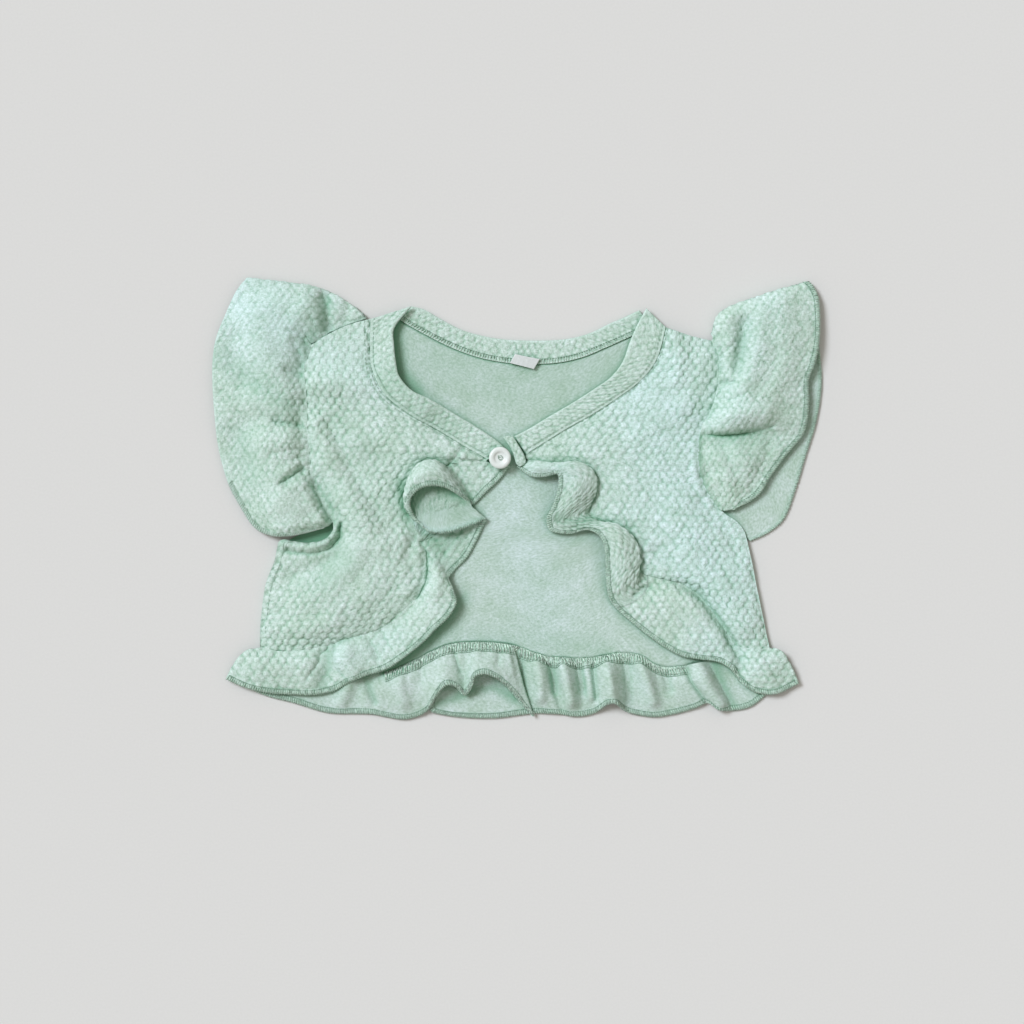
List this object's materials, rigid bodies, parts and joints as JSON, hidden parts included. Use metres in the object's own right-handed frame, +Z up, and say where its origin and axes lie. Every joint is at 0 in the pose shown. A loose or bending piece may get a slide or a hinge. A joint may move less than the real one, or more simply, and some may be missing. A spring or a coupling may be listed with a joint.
{
  "type": "baby shrug",
  "caption": "Short open-front shrug of mint bubble knit for a baby, laid flat, with flutter sleeves, ruffled front and hem edges, a banded neck and a button at the breast.",
  "frame": {"origin": "middle of the garment's box, on the surface it lies on", "axes": "+X from the wearer's right sleeve to the left one, +Y from the hem to the neck, +Z up out of the cloth"},
  "size_m": [0.305, 0.2212, 0.0149],
  "materials": {
    "knit_outer": "soft bubble knit, matte",
    "knit_inner": "plain knit, matte",
    "neckband": "bubble knit folded double, matte",
    "label": "blank woven ribbon, slight sheen",
    "button": "glossy white",
    "thread": "matte sewing and overlock thread"
  },
  "bodies": {
    "root": {"back_panel": "knit_inner", "front_left": "knit_outer", "front_right": "knit_outer", "neckband_back": "neckband", "neckband_left": "neckband", "neckband_right": "neckband", "sleeve_left": "knit_outer", "sleeve_right": "knit_outer", "ruffle_left": "knit_outer", "ruffle_right": "knit_outer", "ruffle_back": "knit_inner", "label": "label", "button_loop": "neckband", "button": "button"}
  },
  "joints": []
}
